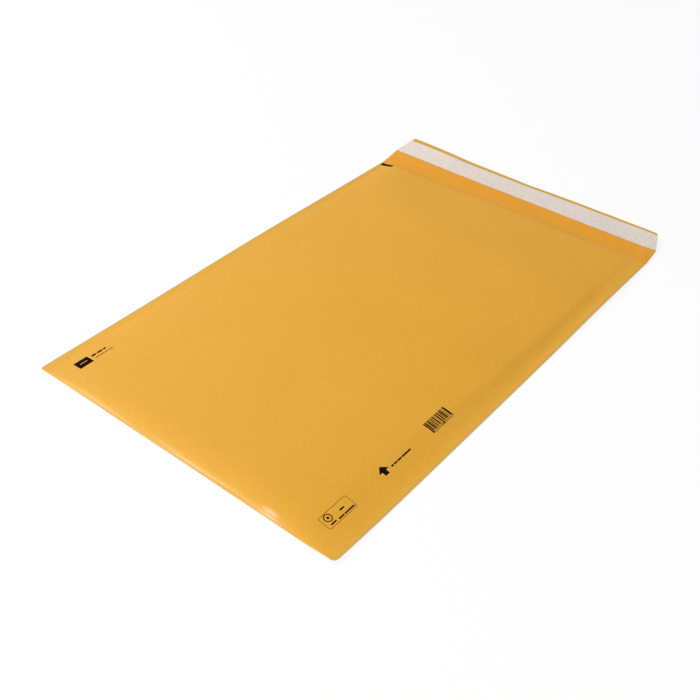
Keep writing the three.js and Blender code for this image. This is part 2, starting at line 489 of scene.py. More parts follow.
    def flap_point(self, side: Array, distance: Array, height: Array | float) -> Array:
        """Point over the flap: each column is an arc, and the twist lifts the left ones.

        The angle grows evenly from the start angle less the twist times the side; y and z
        are the radius times the changes of its sine and cosine. A bell across the flap
        sags it between its corners, more towards the tip.

        Args:
            side: Places across, as shares of the flap's half width.
            distance: Developed distances from the mouth.
            height: Height above the flap's outer face.

        Returns:
            Points, with x, y and z on the last axis.
        """
        side, distance, height = np.broadcast_arrays(side, distance, height)
        start = self.flap_start_angle - self.flap_twist * side
        angle = start + distance / self.flap_radius
        at_mouth = self.back_height(side * self.half_width, np.full(side.shape, self.length))
        share = ease(distance / self.flap_length)
        rest = blend(at_mouth, self.flap_rest_height, share)
        x = side * self.flap_half_width(distance)
        y = self.length + self.flap_radius * (np.sin(angle) - np.sin(start))
        z = rest + self.flap_radius * (np.cos(start) - np.cos(angle)) + height
        z = z - (distance / self.flap_length) ** 2 * self.flap_sag.at(side)
        return np.stack([x, y, z + share * self.flap_waves.relief(x, y)], axis=-1)


def sheet_faces(rows: int, columns: int) -> tuple[Array, Array]:
    """Faces of a thin closed sheet made of two grids of points, outer rows first.

    The two grids are joined along all four rims, so the sheet has no open edge.

    Args:
        rows: Number of rows of each grid.
        columns: Number of columns of each grid.

    Returns:
        The quads, and for each quad whether it belongs to the outer grid.
    """
    index = np.arange(rows * columns).reshape(rows, columns)
    a, b, c, d = index[:-1, :-1], index[1:, :-1], index[1:, 1:], index[:-1, 1:]
    outer = np.stack([a, b, c, d], axis=-1).reshape(-1, 4)
    inner = outer[:, ::-1] + rows * columns
    rim = np.concatenate([index[0, :], index[1:, -1], index[-1, -2::-1], index[-2::-1, 0]])
    near, far = rim[:-1], rim[1:]
    under = rows * columns
    edge = np.stack([near, far, far + under, near + under], axis=-1)
    quads = np.concatenate([outer, inner, edge])
    is_outer = np.zeros(len(quads), dtype=bool)
    is_outer[: len(outer)] = True
    return quads, is_outer


def signed_volume(points: Array, quads: Array) -> float:
    """Volume inside the quads: a sixth of the triple product over both halves of each.

    Args:
        points: Vertices.
        quads: Four vertex numbers for each face.

    Returns:
        The volume, negative where the faces point inwards.
    """
    a, b, c, d = (points[quads[:, i]] for i in range(4))
    first = np.einsum("ij,ij->i", a, np.cross(b, c))
    second = np.einsum("ij,ij->i", a, np.cross(c, d))
    return float((first + second).sum() / 6.0)


@dataclass
class Shell:
    """Vertices, quads and material slots of one piece, in the envelope's own millimetres.

    A triangle is a quad that repeats its last vertex. The painted light and wear at each
    vertex goes from 0 to 1 towards a painted light tone (a painted highlight and wear on the
    outer fold, a painted shade on the inner tip), and down to -1 towards a painted shade on
    the side edges.
    """

    points: Array
    quads: Array
    slots: Array
    painted_light_and_wear: Array

    @classmethod
    def sheet(cls, outer: Array, inner: Array, painted_light_and_wear: Array | None = None) -> "Shell":
        """Closed thin sheet between two grids of points, turned to face outwards.

        Args:
            outer: Grid of the outer face's points.
            inner: Grid of the inner face's points, of the same shape.
            painted_light_and_wear: Painted light and wear of both grids, the outer one's first.

        Returns:
            The shell, with the inner face and the rims on the inner slot.
        """
        rows, columns = outer.shape[:2]
        points = np.concatenate([outer.reshape(-1, 3), inner.reshape(-1, 3)])
        quads, is_outer = sheet_faces(rows, columns)
        if signed_volume(points, quads) < 0.0:
            quads = quads[:, ::-1]
        light_and_wear = np.zeros(len(points)) if painted_light_and_wear is None else painted_light_and_wear.ravel()
        slots = np.where(is_outer, Face.OUTER.value, Face.INNER.value)
        return cls(points, quads, slots, light_and_wear)

    @classmethod
    def joined(cls, shells: list["Shell"]) -> "Shell":
        """One shell from several: their vertices in turn, each face's numbers moved on.

        Args:
            shells: The shells.

        Returns:
            The joined shell.
        """
        starts = np.cumsum([0] + [len(s.points) for s in shells[:-1]])
        return cls(
            np.concatenate([s.points for s in shells]),
            np.concatenate([s.quads + n for s, n in zip(shells, starts)]),
            np.concatenate([s.slots for s in shells]),
            np.concatenate([s.painted_light_and_wear for s in shells]),
        )

    def mesh(self, name: str, origin_y: float) -> bpy.types.Mesh:
        """The shell as a smooth mesh, in the row's frame and in metres.

        Args:
            name: Name of the mesh.
            origin_y: Place of the closed fold in the row's frame.

        Returns:
            The mesh, still without materials.
        """
        points = (self.points + np.array([0.0, origin_y, 0.0])) * MM
        triangle = self.quads[:, 2] == self.quads[:, 3]
        loops = np.where(triangle, 3, 4)
        corners = self.quads[~(np.arange(4) == 3)[None, :] | ~triangle[:, None]]
        starts = np.concatenate([[0], np.cumsum(loops)[:-1]])
        mesh = bpy.data.meshes.new(name)
        mesh.vertices.add(len(points))
        mesh.vertices.foreach_set("co", points.astype(np.float32).ravel())
        mesh.loops.add(len(corners))
        mesh.loops.foreach_set("vertex_index", corners.astype(np.int32))
        mesh.polygons.add(len(loops))
        mesh.polygons.foreach_set("loop_start", starts.astype(np.int32))
        mesh.polygons.foreach_set("use_smooth", np.ones(len(loops), dtype=bool))
        light_and_wear = mesh.attributes.new("painted_light_and_wear", "FLOAT", "POINT")
        light_and_wear.data.foreach_set("value", self.painted_light_and_wear.astype(np.float32))
        log.info("%s: %d vertices, %d triangles", name, len(points), (loops - 2).sum())
        return mesh

    def build(
        self,
        name: str,
        form: EnvelopeForm,
        materials: list[bpy.types.Material],
        slot: str,
        *nodes: str,
    ) -> None:
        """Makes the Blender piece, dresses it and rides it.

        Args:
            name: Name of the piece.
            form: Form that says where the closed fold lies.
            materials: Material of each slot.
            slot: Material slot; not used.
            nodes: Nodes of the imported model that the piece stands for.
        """
        mesh = self.mesh(name, form.origin_y)
        for material in materials:
            mesh.materials.append(material)
        mesh.polygons.foreach_set("material_index", self.slots.astype(np.int32))
        mesh.update(calc_edges=True)
        mesh.validate()
        mesh.set_sharp_from_angle(angle=RIM_ANGLE)
        piece = placed(name, mesh)
        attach(piece, BODY)
        if nodes:
            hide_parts(*nodes)


class NodeGraph:
    """A node tree, with short calls that add, join and link its nodes."""

    def __init__(self, tree: bpy.types.NodeTree) -> None:
        """Takes the tree that gets the nodes."""
        self.tree = tree

    def add(self, kind: str, **settings: object) -> bpy.types.Node:
        """Adds a node and sets its options.

        Args:
            kind: Blender's name of the node, without the leading ShaderNode.
            settings: Options of the node by name.

        Returns:
            The new node.
        """
        node = self.tree.nodes.new("ShaderNode" + kind)
        for option, value in settings.items():
            setattr(node, option, value)
        return node

    def feed(self, target: Socket, value: Socket | float | Colour) -> None:
        """Links a socket to another, or sets it to a number or a colour.

        Args:
            target: Input socket.
            value: What it gets.
        """
        if isinstance(value, bpy.types.NodeSocket):
            self.tree.links.new(value, target)
        else:
            target.default_value = (*value, 1.0) if isinstance(value, tuple) else value

    def combine(self, operation: str, first: Socket | float, second: Socket | float) -> Socket:
        """Joins two values by an operation.

        Args:
            operation: Blender's name of the operation.
            first: Socket or number on its first side.
            second: Socket or number on its second side.

        Returns:
            Socket of the result.
        """
        node = self.add("Math", operation=operation)
        self.feed(node.inputs[0], first)
        self.feed(node.inputs[1], second)
        return node.outputs[0]

    def seen(self) -> Socket:
        """1 for rays from the camera, off glossy faces and through clear ones, else 0.

        Returns:
            Socket of the share.
        """
        rays = self.add("LightPath").outputs
        shown = self.combine("MAXIMUM", rays["Is Camera Ray"], rays["Is Glossy Ray"])
        return self.combine("MAXIMUM", shown, rays["Is Transmission Ray"])


class Surface(NodeGraph):
    """The node tree of a new material with one principled shader."""

    def __init__(self, name: str) -> None:
        """Makes an empty material with a shader and an output.

        Args:
            name: Name of the material.
        """
        self.material = bpy.data.materials.new(name)
        self.material.use_nodes = True
        super().__init__(self.material.node_tree)
        self.tree.nodes.clear()
        self.output = self.add("OutputMaterial")
        self.shader = self.add("BsdfPrincipled")
        self.feed(self.output.inputs["Surface"], self.shader.outputs["BSDF"])

    def noise(self, scale: float, detail: float = 3.0, stretch: Triple | None = None) -> Socket:
        """Noise on Object coordinates, optionally squeezed along its axes.

        Args:
            scale: Cells in a metre.
            detail: Number of finer octaves.
            stretch: How many times finer the pattern is along each axis.

        Returns:
            The noise's value socket.
        """
        coordinates = self.add("TexCoord").outputs["Object"]
        if stretch is not None:
            mapping = self.add("Mapping")
            mapping.inputs["Scale"].default_value = stretch
            self.feed(mapping.inputs["Vector"], coordinates)
            coordinates = mapping.outputs["Vector"]
        noise = self.add("TexNoise")
        self.feed(noise.inputs["Vector"], coordinates)
        self.feed(noise.inputs["Scale"], scale)
        self.feed(noise.inputs["Detail"], detail)
        self.feed(noise.inputs["Roughness"], NOISE_ROUGHNESS)
        return noise.outputs["Fac"]

    def spread(self, value: Socket, low: float, high: float) -> Socket:
        """Maps the middle part of a noise onto low to high.

        Args:
            value: Socket of the noise.
            low: Result at the noise's low end.
            high: Result at its high end.

        Returns:
            Socket of the mapped value.
        """
        node = self.add("MapRange")
        ends = ("From Min", "From Max", "To Min", "To Max")
        for name, end in zip(ends, (*NOISE_MIDDLE, low, high)):
            self.feed(node.inputs[name], end)
        self.feed(node.inputs["Value"], value)
        return node.outputs["Result"]

    def mix(self, share: Socket, first: Socket | Colour, second: Socket | Colour) -> Socket:
        """Mixes two colours by a share.

        Args:
            share: Socket of the second colour's share.
            first: Colour or socket at share 0.
            second: Colour or socket at share 1.

        Returns:
            Socket of the mixed colour.
        """
        node = self.add("Mix", data_type="RGBA", blend_type="MIX")
        self.feed(node.inputs["Factor"], share)
        first_input, second_input = (s for s in node.inputs if s.type == "RGBA")
        self.feed(first_input, first)
        self.feed(second_input, second)
        return next(s for s in node.outputs if s.type == "RGBA")

    def mottle(
        self, tone: Socket | Colour, other: Colour, noise: Socket, most: float = 1.0
    ) -> Socket:
        """Mixes a second tone in by a noise, up to the given share of it."""
        return self.mix(self.spread(noise, 0.0, most), tone, other)

    def bump(self, parts: list[tuple[Socket, float]]) -> None:
        """Bumps the shader by a sum of heights.

        Args:
            parts: Sockets of heights, each with the metres that a height of 1 stands for.
        """
        depths = [self.combine("MULTIPLY", height, depth) for height, depth in parts]
        total = reduce(lambda first, second: self.combine("ADD", first, second), depths)
        node = self.add("Bump")
        self.feed(node.inputs["Strength"], 1.0)
        self.feed(node.inputs["Distance"], 1.0)
        self.feed(node.inputs["Height"], total)
        self.feed(self.shader.inputs["Normal"], node.outputs["Normal"])

    def dress(self, **values: Socket | float) -> None:
        """Sets or links the shader's own sockets, underscores standing for spaces."""
        for name, value in values.items():
            self.feed(self.shader.inputs[name.replace("_", " ")], value)


@dataclass(frozen=True)
class KraftPaperFinish:
    """Golden kraft paper: soft blotches, lengthwise fibres, a calendered sheen, painted light.

    The light and wear tone is a painted highlight, partly real wear, on the outer face, and a
    painted shade on the inner one. The edge shade tone is a painted shade on the side edges,
    where the value is below 0. The roughness is that of the smoothest and the roughest places.
    """

    name: str
    light: Colour
    deep: Colour
    fibre: Colour
    light_and_wear_tone: Colour
    roughness: tuple[float, float]
    # painted shade for the side edges, taken where the value is below 0
    edge_shade_tone: Colour = (0.580, 0.385, 0.100)
    blotch_scale: float = 13.0
    fleck_scale: float = 260.0
    fibre_scale: float = 620.0
    fibre_stretch: Triple = (1.0, 0.32, 1.0)
    cockle_scale: float = 70.0
    fleck_share: float = 0.24
    fibre_share: float = 0.26
    specular: float = 0.10
    relief: float = 0.00002
    cockle: float = 0.00011

    def material(self) -> bpy.types.Material:
        """Builds the material: noises mix the tones and raise the fibres.

        Returns:
            The finished material.
        """
        paper = Surface(self.name)
        flecks = paper.noise(self.fleck_scale)
        fibres = paper.noise(self.fibre_scale, detail=4.0, stretch=self.fibre_stretch)
        tone = paper.mottle(self.light, self.deep, paper.noise(self.blotch_scale, detail=4.0))
        tone = paper.mottle(tone, self.fibre, flecks, self.fleck_share)
        tone = paper.mottle(tone, self.fibre, fibres, self.fibre_share)
        # painted light: the light and wear tone (painted highlight and wear outside, painted shade on
        # the inner tip) and, below 0, the painted edge shade
        light_and_wear = paper.add("Attribute", attribute_name="painted_light_and_wear").outputs["Fac"]
        tone = paper.mix(light_and_wear, tone, self.light_and_wear_tone)
        tone = paper.mix(paper.combine("MULTIPLY", light_and_wear, -1.0), tone, self.edge_shade_tone)
        rough = paper.spread(flecks, *self.roughness)
        paper.dress(Base_Color=tone, Roughness=rough, Specular_IOR_Level=self.specular)
        cockles = paper.noise(self.cockle_scale, detail=2.0)
        paper.bump([(fibres, self.relief), (cockles, self.cockle)])
        return paper.material


@dataclass(frozen=True)
class InkFinish:
    """Black ink that the paper's fibres break up into a dark brown here and there."""

    name: str = "black_ink"
    solid: Colour = (0.003, 0.002, 0.001)
    broken: Colour = (0.016, 0.007, 0.003)
    scale: float = 900.0
    roughness: float = 0.65
    specular: float = 0.01

    def material(self) -> bpy.types.Material:
        """Builds the material: a fine noise mixes the solid ink and the broken one.

        Returns:
            The finished material.
        """
        ink = Surface(self.name)
        tone = ink.mottle(self.solid, self.broken, ink.noise(self.scale, detail=2.0))
        ink.dress(Base_Color=tone, Roughness=self.roughness, Specular_IOR_Level=self.specular)
        return ink.material


@dataclass(frozen=True)
class FilmFinish:
    """Clear to milky film or adhesive: a tone with faint clouding, partly see-through."""

    name: str
    clear: Colour
    cloudy: Colour
    scale: float
    roughness: float
    transmission: float
    relief: float

    def material(self) -> bpy.types.Material:
        """Builds the material: a noise clouds the tone and lightly dents the surface.

        Returns:
            The finished material.
        """
        film = Surface(self.name)
        clouds = film.noise(self.scale)
        film.dress(
            Base_Color=film.mottle(self.clear, self.cloudy, clouds),
            Roughness=self.roughness,
            Transmission_Weight=self.transmission,
        )
        film.bump([(clouds, self.relief)])
        return film.material


@dataclass(frozen=True)
class ReleasePaperFinish:
    """Pale release paper: warm and cool patches under a silky coat, finely crinkled."""

    name: str = "release_paper"
    warm: Colour = (0.780, 0.650, 0.550)
    cool: Colour = (0.530, 0.535, 0.525)
    cloud_scale: float = 22.0
    patch_scale: float = 170.0
    grain_scale: float = 480.0
    cloud_share: float = 0.7
    patch_share: float = 0.85
    grain_share: float = 0.9
    crinkle: float = 0.00016
    roughness: float = 0.42

    def material(self) -> bpy.types.Material:
        """Builds the material: three noises mix the tones, and one crinkles the face.

        Returns:
            The finished material.
        """
        paper = Surface(self.name)
        patches = paper.noise(self.patch_scale, detail=4.0)
        grain = paper.noise(self.grain_scale, detail=2.0)
        clouds = paper.noise(self.cloud_scale, detail=2.0)
        tone = paper.mottle(self.warm, self.cool, clouds, self.cloud_share)
        tone = paper.mottle(tone, self.cool, patches, self.patch_share)
        tone = paper.mottle(tone, self.warm, grain, self.grain_share)
        paper.dress(Base_Color=tone, Roughness=self.roughness)
        paper.bump([(patches, self.crinkle)])
        return paper.material


@dataclass
class KraftSheet:
    """The kraft sheet: front, closed fold, back and flap, all one piece of paper.

    Its columns lie closest over the seams and the slopes beside them, and a stop of its
    rows is a stretch's end and spacing. The fold's painted highlight, partly real wear, lies
    over a span across and is varied by fine streaks, with one brighter spot on it, and paler
    patches lie along the right side's crest. The side edges carry a painted shade over the
    edge shade width. On the inner face the bare tip's painted shade goes on a little under
    the liner.
    """

    form: EnvelopeForm
    seam_step: float = 1.2
    slope_step: float = 1.5
    panel_step: float = 4.0
    slope_reach: float = 52.0
    mouth_reach: float = 12.0
    mouth_step: float = 1.0
    front_stops: tuple[Place, ...] = ((380.0, 2.4), (60.0, 3.2))
    fold_step: float = 2.4
    fold_rows: int = 60
    back_stops: tuple[Place, ...] = ((-60.0, 3.0), (-400.0, 6.0))
    back_step: float = 4.0
    flap_rows: int = 26
    # painted shade along the side edges
    edge_shade_strength: float = 0.9
    edge_shade_width: float = 3.2
    # painted highlight along the closed fold, partly real wear: its bands, span, bright spot and
    # streaks
    fold_sheen_bands: tuple[Bump, ...] = (Bump(4.7, 2.4, 0.42), Bump(0.0, 3.0, 0.1))
    sheen_span: tuple[Place, Place] = ((-165.0, -115.0), (92.0, 128.0))
    bright_spot_along: Bump = Bump(98.0, 6.0, 1.3)
    bright_spot_in: Bump = Bump(5.9, 2.6, 1.3)
    fold_streaks: Waves = Waves(16, 2.6, 6.5, 0.5, 7)
    streak_stretch: float = 0.04
    # paler patches along the right side's crest
    crest: Bump = Bump(156.4, 2.2, 1.0)
    crest_pale_patches: tuple[Bump, ...] = (Bump(288.0, 16.0, 0.16), Bump(362.0, 24.0, 0.18))
    tip_overlap: float = 2.5
    outside: KraftPaperFinish = KraftPaperFinish(
        "kraft_outside",
        light=(0.800, 0.408, 0.048),
        deep=(0.770, 0.393, 0.045),
        fibre=(0.640, 0.315, 0.034),
        # painted highlight along the fold, partly real wear
        light_and_wear_tone=(0.860, 0.570, 0.260),
        roughness=(0.40, 0.50),
    )
    inside: KraftPaperFinish = KraftPaperFinish(
        "kraft_inside",
        light=(0.810, 0.362, 0.038),
        deep=(0.780, 0.348, 0.035),
        fibre=(0.660, 0.270, 0.020),
        # painted shade on the flap's bare inner tip
        light_and_wear_tone=(0.600, 0.350, 0.060),
        roughness=(0.50, 0.62),
    )

    def columns(self) -> Array:
        """Places across, closest over the seams and the slopes beside them.

        Returns:
            The places.
        """
        form = self.form
        inner = form.seam_line - self.slope_reach
        stops = [
            (-form.seam_line, self.seam_step),
            (-inner, self.slope_step),
            (inner, self.panel_step),
            (form.seam_line, self.slope_step),
            (form.half_width, self.seam_step),
        ]
        return stations(stops, -form.half_width)

    def body_rows(self) -> Array:
        """Signed distances from the fold, from the front's mouth edge to the back's.

        Returns:
            The distances.
        """
        length, reach = self.form.length, self.form.fold_reach
        mouth = (length - self.mouth_reach, self.mouth_step)
        front = stations([mouth, *self.front_stops, (reach, self.fold_step)], length)
        fold = np.linspace(reach, -reach, self.fold_rows + 1)[1:]
        back = stations([*self.back_stops, (-length, self.back_step)], -reach)[1:]
        return np.concatenate([front, fold, back])

    def flap_shares(self) -> Array:
        """Rows of the flap after the mouth's, as shares of the flap's length."""
        return np.linspace(0.0, 1.0, self.flap_rows + 1)[1:]

    def layer(self, depth: float) -> Array:
        """Grid of points over the body and the flap, a depth below the outer face.

        Args:
            depth: 0 on the outer face, the paper's thickness on the inner one.

        Returns:
            Grid of points.
        """
        form = self.form
        x = self.columns()[None, :]
        body = form.point(x, self.body_rows()[:, None], depth)
        side = x / form.half_width
        distance = self.flap_shares()[:, None] * (form.flap_length - form.tip_notch(side))
        return np.concatenate([body, form.flap_point(side, distance, depth)])

    def fold_sheen_and_wear(self, x: Array, run: Array) -> Array:
        """Fold's painted highlight and wear, crest's paler patches: bells of the distance from each.

        Args:
            x: Places across.
            run: Distances from the fold along the sheet.

        Returns:
            Painted highlight and wear at each place, 0 to 1.
        """
        (low, high), (first, last) = self.sheen_span
        span = ease((x - low) / (high - low)) * (1.0 - ease((x - first) / (last - first)))
        # painted highlight along the fold, partly real wear, with a brighter spot on it
        fold = sum(b.at(run) for b in self.fold_sheen_bands) * span
        fold = fold + self.bright_spot_along.at(x) * self.bright_spot_in.at(run)
        fold = fold * (1.0 + self.fold_streaks.relief(x * self.streak_stretch, run))
        return np.clip(fold + self.crest.at(x) * sum(b.at(run) for b in self.crest_pale_patches), 0.0, 1.0)

    def light_and_wear_grid(self, outer: Array) -> Array:
        """Painted light and wear of both faces, so that each shows its painted tone there.

        The outer face gets a painted shade at its side edges, eased off inwards, and a
        painted highlight, partly real wear, along the fold. The inner face gets a painted
        shade past the liner.

        Args:
            outer: Grid of the outer face's points.

        Returns:
            Painted light and wear at each point of the outer grid, then of the inner one.
        """
        form = self.form
        x = outer[..., 0]
        on_flap = self.flap_shares() * form.flap_length
        run = np.abs(np.concatenate([self.body_rows(), form.length + on_flap]))[:, None]
        # painted shade along the side edges, stored below 0
        edges = self.edge_shade_strength * (1.0 - ease((form.half_width - np.abs(x)) / self.edge_shade_width))
        fold = self.fold_sheen_and_wear(x, run)
        # painted shade on the bare tip of the inner face
        bare = form.length + form.flap_length - form.tip_band - self.tip_overlap
        tip = np.broadcast_to(ease((run - bare) / self.tip_overlap), x.shape)
        return np.stack([fold - edges * (1.0 - fold), tip])

    def build(self) -> None:
        """Builds and dresses the sheet."""
        outer = self.layer(0.0)
        shell = Shell.sheet(outer, self.layer(self.form.paper), self.light_and_wear_grid(outer))
        materials = [self.outside.material(), self.inside.material()]
        shell.build("kraft_sheet", self.form, materials, "kraft_paper", "kraft_envelope")


@dataclass
class BubbleLining:
    """The bubble lining: a film pocket whose bubbles face the paper.

    The open end is its distance from the fold, and the inset the depth of the bubbles' tops
    below the envelope's outer face. The wall is as high as a bubble and its film where
    there is room, and a bubble's rings have their radii and heights as shares.
    """

    form: EnvelopeForm
    open_end: float
    inset: float = 0.45
    wall: float = 2.0
    film: float = 0.1
    edge_thickness: float = 1.5
    search_depth: float = 40.0
    search_count: int = 121
    room_share: float = 0.45
    panel_stop: Place = (60.0, 7.0)
    fold_step: float = 4.0
    fold_rows: int = 24
    film_columns: int = 45
    bubble_radius: float = 4.9
    clearance: float = 1.0
    pitch: float = 11.0
    sides: int = 8
    smallest_wall: float = 0.7
    fold_margin: float = 12.0
    ring_radii: tuple[float, ...] = (1.0, 0.9, 0.55)
    ring_heights: tuple[float, ...] = (0.02, 0.62, 0.94)
    top_and_foot: Place = (1.0, 0.01)
    finish: FilmFinish = FilmFinish(
        "bubble_film",
        clear=(0.80, 0.83, 0.85),
        cloudy=(0.88, 0.90, 0.91),
        scale=90.0,
        roughness=0.22,
        transmission=0.7,
        relief=0.00003,
    )

    def reach(self, x: Array, v: Array) -> Array:
        """Half width of the lining: where the envelope is as thick as the lining's edge.

        The thickness is read at close places in from the seam, and the first place that is
        thick enough is taken.

        Args:
            x: Places across, for their side.
            v: Signed distances from the fold.

        Returns:
            Half width at each place.
        """
        form = self.form
        inward = np.linspace(0.0, self.search_depth, self.search_count)
        x, y = np.broadcast_arrays(x, np.abs(v))
        places = np.sign(x)[..., None] * (form.seam_line - inward)
        thickness = form.thickness(places, y[..., None])
        first = np.argmax(thickness >= self.edge_thickness, axis=-1)
        return form.seam_line - inward[first]

    def wall_height(self, x: Array, v: Array) -> Array:
        """Height of the lining's wall: its own, or a share of the room if that is less."""
        room = self.form.thickness(x, np.abs(v)) - 2.0 * self.inset
        return np.clip(self.room_share * room, self.film, self.wall)

    def film_shell(self) -> Shell:
        """The film: one thin sheet over the front, round the fold and over the back.

        Returns:
            The film.
        """
        form = self.form
        front = stations([self.panel_stop, (form.fold_reach, self.fold_step)], self.open_end)
        fold = np.linspace(form.fold_reach, -form.fold_reach, self.fold_rows + 1)[1:]
        v = np.concatenate([front, fold, -front[::-1][1:]])[:, None]
        spread = np.sin(np.linspace(-0.5, 0.5, self.film_columns) * math.pi)[None, :]
        x = spread * self.reach(spread, v)
        inset = self.inset + self.wall_height(x, v)
        return Shell.sheet(form.point(x, v, inset - self.film), form.point(x, v, inset))

    def bubble_centres(self) -> Array:
        """Centres of the bubbles on both walls, in offset rows, clear of edges and fold.

        Returns:
            Places across and signed distances from the fold, one pair for each bubble.
        """
        held = self.bubble_radius + self.clearance
        start = self.fold_margin + self.bubble_radius
        rows = np.arange(start, self.open_end - held, self.pitch * math.sqrt(3.0) / 2.0)
        places = np.arange(-self.form.half_width, self.form.half_width, self.pitch)
        offsets = np.where(np.arange(len(rows)) % 2 == 0, 0.0, self.pitch / 2.0)
        x = (places[None, :] + offsets[:, None]).ravel()
        y = np.repeat(rows, len(places))
        x, v = np.concatenate([x, x]), np.concatenate([y, -y])
        inside = np.abs(x) + held < self.reach(x, v)
        tall = self.wall_height(x, v) > self.smallest_wall
        return np.stack([x, v], axis=-1)[inside & tall]

    def dome_faces(self) -> Array:
        """Faces of one closed dome: bands between its rings, its cap and its foot.

        Returns:
            Quads over the rings' vertices, then the top point and the foot's middle.
        """
        rings = len(self.ring_radii)
        corner = np.arange(self.sides)
        after = (corner + 1) % self.sides
        band = np.stack([corner, after, after + self.sides, corner + self.sides], -1)
        last = self.sides * (rings - 1)
        top = np.full(self.sides, self.sides * rings)
        cap = np.stack([corner + last, after + last, top, top], -1)
        foot = np.stack([after, corner, top + 1, top + 1], -1)
        bands = [band + self.sides * ring for ring in range(rings - 1)]
        return np.concatenate([*bands, cap, foot])

    def bubble_shell(self) -> Shell:
        """The bubbles: rings that narrow as they rise to a top point, on a closed foot.

        Returns:
            Every bubble as a closed dome.
        """
        centres = self.bubble_centres()
        turn = np.tile(np.arange(self.sides) * 2.0 * math.pi / self.sides, len(self.ring_radii))
        radii = np.repeat(self.ring_radii, self.sides) * self.bubble_radius
        x = centres[:, :1] + np.concatenate([radii * np.cos(turn), [0.0, 0.0]])
        v = centres[:, 1:] + np.concatenate([radii * np.sin(turn), [0.0, 0.0]])
        rise = np.concatenate([np.repeat(self.ring_heights, self.sides), self.top_and_foot])
        wall = self.wall_height(x, v)
        points = self.form.point(x, v, self.inset + wall - rise * (wall - self.film / 2.0))
        count = points.shape[1]
        starts = (np.arange(len(centres)) * count)[:, None, None]
        quads = (self.dome_faces() + starts).reshape(-1, 4)
        painted_light_and_wear = np.zeros(len(centres) * count)
        return Shell(points.reshape(-1, 3), quads, np.zeros(len(quads), int), painted_light_and_wear)

    def build(self) -> None:
        """Builds and dresses the film with its bubbles."""
        shell = Shell.joined([self.film_shell(), self.bubble_shell()])
        materials = [self.finish.material()] * 2
        shell.build("bubble_film", self.form, materials, "bubble_film", "bubble_lining")


@dataclass
class FlapBand:
    """A band laid across the flap's inner face, from one side to the other.

    It lies between the liner's long edges, held in by the margin, and the heights are those
    of its two faces above the flap's outer face. The skew says how much nearer the tip the
    right end of its far edge lies than the left one.
    """

    form: EnvelopeForm
    heights: Place
    crinkle: Waves
    margin: float = 0.0
    side_margin: float = 0.0
    skew: float = 1.6
    columns: int = 161
    rows: int = 17
    corner_margin: float = 0.3
    follow: float = 0.9

    def shell(self) -> Shell:
        """Closed sheet whose rows run from the near edge to the skewed far one.

        Returns:
            The band.
        """
        form = self.form
        side = np.linspace(-1.0, 1.0, self.columns)[None, :]
        side = side * (1.0 - self.side_margin / form.half_width)
        near = form.liner_start + self.margin
        far = form.liner_start + form.liner_width - self.margin + self.skew / 2.0 * side
        held = form.flap_length - form.tip_notch(side) - self.corner_margin
        rows = np.linspace(0.0, 1.0, self.rows)[:, None]
        distance = blend(near, np.minimum(far, held), rows)
        relief = self.crinkle.relief(side * form.half_width, distance)
        relief = np.clip(relief + self.crinkle.height, 0.0, None)
        low, high = self.heights
        upper = form.flap_point(side, distance, high + relief)
        lower = form.flap_point(side, distance, low + relief * self.follow)
        return Shell.sheet(upper, lower)


@dataclass
class Closure:
    """The peel-and-seal closure: an adhesive band under its release liner.

    The adhesive lies inside the liner's edges and clear of the flap's sides.
    """

    form: EnvelopeForm
    liner_heights: Place = (0.38, 0.50)
    liner_crinkle: Waves = Waves(21, 5.0, 22.0, 0.05, 14)
    adhesive_heights: Place = (0.16, 0.36)
    adhesive_crinkle: Waves = Waves(22, 8.0, 30.0, 0.004, 6)
    adhesive_margin: float = 1.5
    adhesive_side_margin: float = 6.0
    liner_finish: ReleasePaperFinish = ReleasePaperFinish()
    adhesive_finish: FilmFinish = FilmFinish(
        "hot_melt",
        clear=(0.68, 0.55, 0.27),
        cloudy=(0.74, 0.62, 0.36),
        scale=60.0,
        roughness=0.25,
        transmission=0.3,
        relief=0.00005,
    )

    def build(self) -> None:
        """Builds and dresses the adhesive and the liner."""
        form, melt, paper = self.form, self.adhesive_finish.material(), self.liner_finish.material()
        margins = self.adhesive_margin, self.adhesive_side_margin
        adhesive = FlapBand(form, self.adhesive_heights, self.adhesive_crinkle, *margins).shell()
        liner = FlapBand(form, self.liner_heights, self.liner_crinkle).shell()
        adhesive.build("adhesive_band", form, [melt] * 2, "hot_melt_adhesive", "adhesive_strip")
        liner.build("liner_strip", form, [paper] * 2, "silicone_paper", "release_liner")


@dataclass(frozen=True)
class WordLine:
    """A text line's place, its height across the envelope and the lengths of its words."""

    place: Place
    height: float
    words: tuple[float, ...]


